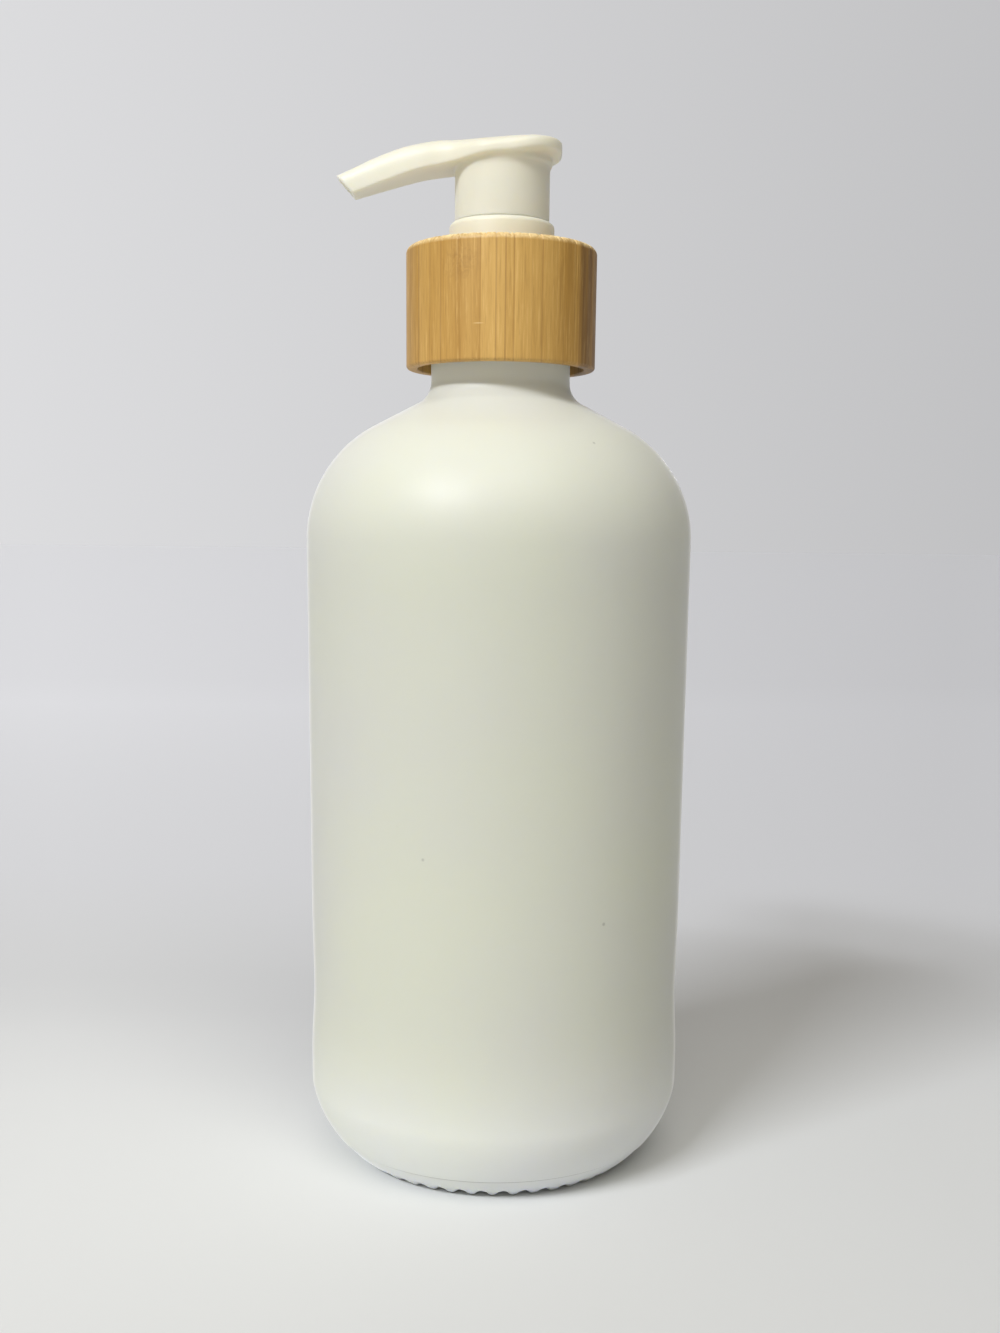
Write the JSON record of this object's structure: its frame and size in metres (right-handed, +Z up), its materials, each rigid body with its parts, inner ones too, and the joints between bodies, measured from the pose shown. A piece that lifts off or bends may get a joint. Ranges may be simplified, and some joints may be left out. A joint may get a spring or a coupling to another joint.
{
  "type": "soap dispenser",
  "caption": "Round frosted glass bottle with a lock-down lotion pump, a bamboo collar over its threaded closure and a long curved spout.",
  "frame": {"origin": "middle of the base, on the surface that the bottle stands on", "axes": "+Z up along the bottle's axis, -X the way the spout points"},
  "size_m": [0.0756, 0.0756, 0.1976],
  "materials": {
    "frosted_glass": "acid-etched satin",
    "bamboo": "turned and lacquered satin",
    "cream_plastic": "moulded satin",
    "natural_plastic": "moulded natural polypropylene",
    "soft_plastic": "polyethylene",
    "foam": "closed-cell foam",
    "spring_steel": "drawn wire",
    "ball_glass": "polished"
  },
  "bodies": {
    "bottle": {"bottle": "frosted_glass"},
    "pump_body": {"pump_barrel": "natural_plastic", "lock_ring": "cream_plastic", "stem_wiper": "soft_plastic", "ball_cage": "natural_plastic", "dip_tube": "soft_plastic", "return_spring": "spring_steel", "bottle_gasket": "foam"},
    "closure": {"threaded_closure": "cream_plastic", "bamboo_collar": "bamboo"},
    "inlet_valve": {"inlet_ball": "ball_glass"},
    "piston": {"piston": "soft_plastic"},
    "head": {"pump_head": "cream_plastic", "stem": "natural_plastic", "piston_core": "natural_plastic"},
    "outlet_valve": {"outlet_ball": "ball_glass"}
  },
  "joints": [
    {"name": "pump_lift", "type": "slide", "parent": "bottle", "child": "pump_body", "axis": [0, 0, 1], "range_m": [0, 0.0053]},
    {"name": "closure_turn", "type": "hinge", "parent": "pump_body", "child": "closure", "pos_m": [0, 0, 0.165], "axis": [0, 0, 1], "range_deg": [0, 450]},
    {"name": "inlet_ball_lift", "type": "slide", "parent": "pump_body", "child": "inlet_valve", "axis": [0, 0, 1], "range_m": [0, 0.001]},
    {"name": "pump_stroke", "type": "slide", "parent": "pump_body", "child": "piston", "axis": [0, 0, 1], "range_m": [0, 0.013], "deforming": ["return_spring"]},
    {"name": "head_turn", "type": "hinge", "parent": "piston", "child": "head", "pos_m": [0, 0, 0.19], "axis": [0, 0, 1], "continuous": true},
    {"name": "outlet_ball_lift", "type": "slide", "parent": "head", "child": "outlet_valve", "axis": [0, 0, 1], "range_m": [0, 0.001]}
  ],
  "couplings": [
    {"joint": "pump_lift", "follows": "closure_turn", "m_per_rad": 0.00067323}
  ]
}
